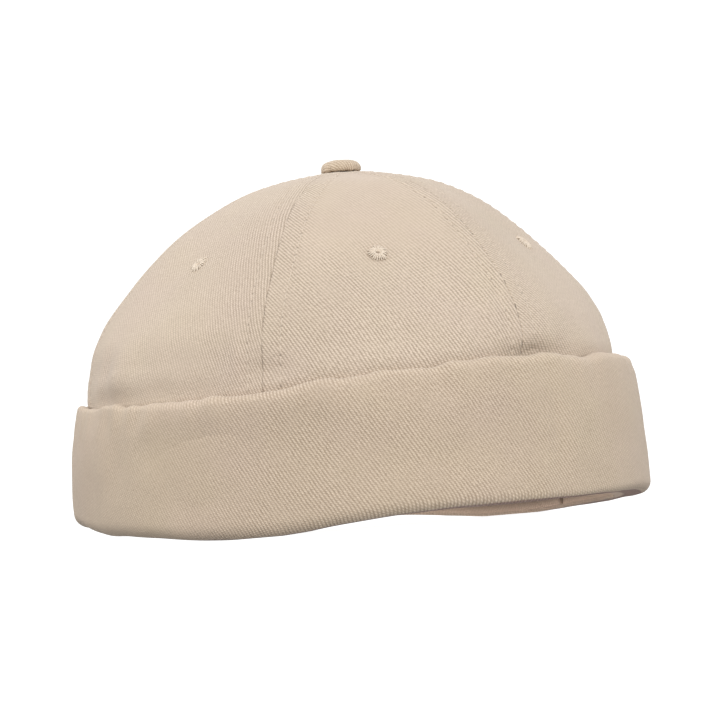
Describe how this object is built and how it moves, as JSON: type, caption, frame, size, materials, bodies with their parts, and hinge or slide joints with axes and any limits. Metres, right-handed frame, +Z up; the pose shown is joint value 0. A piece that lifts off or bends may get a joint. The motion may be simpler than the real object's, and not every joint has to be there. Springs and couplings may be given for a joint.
{
  "type": "docker hat",
  "caption": "Brimless twill cap: round panelled crown with sewn eyelets, covered button on top, turned-up cuff all round and an inner sweatband.",
  "frame": {"origin": "under the middle of the hat, on the surface that it rests on", "axes": "+Z up through the top button, -Y to the front of the hat, +X to the wearer's left"},
  "size_m": [0.1924, 0.2128, 0.1315],
  "materials": {
    "crown_twill": "matt cotton twill",
    "cuff_twill": "matt cotton twill, doubled",
    "sweatband_twill": "matt cotton",
    "eyelet_thread": "sewn thread",
    "button_twill": "matt cotton twill"
  },
  "bodies": {
    "root": {"crown_panel_front": "crown_twill", "crown_panel_front_left": "crown_twill", "crown_panel_back_left": "crown_twill", "crown_panel_back": "crown_twill", "crown_panel_back_right": "crown_twill", "crown_panel_front_right": "crown_twill", "eyelet_front": "eyelet_thread", "eyelet_front_left": "eyelet_thread", "eyelet_back_left": "eyelet_thread", "eyelet_back": "eyelet_thread", "eyelet_back_right": "eyelet_thread", "eyelet_front_right": "eyelet_thread", "cuff": "cuff_twill", "sweatband": "sweatband_twill", "top_button": "button_twill"}
  },
  "joints": []
}
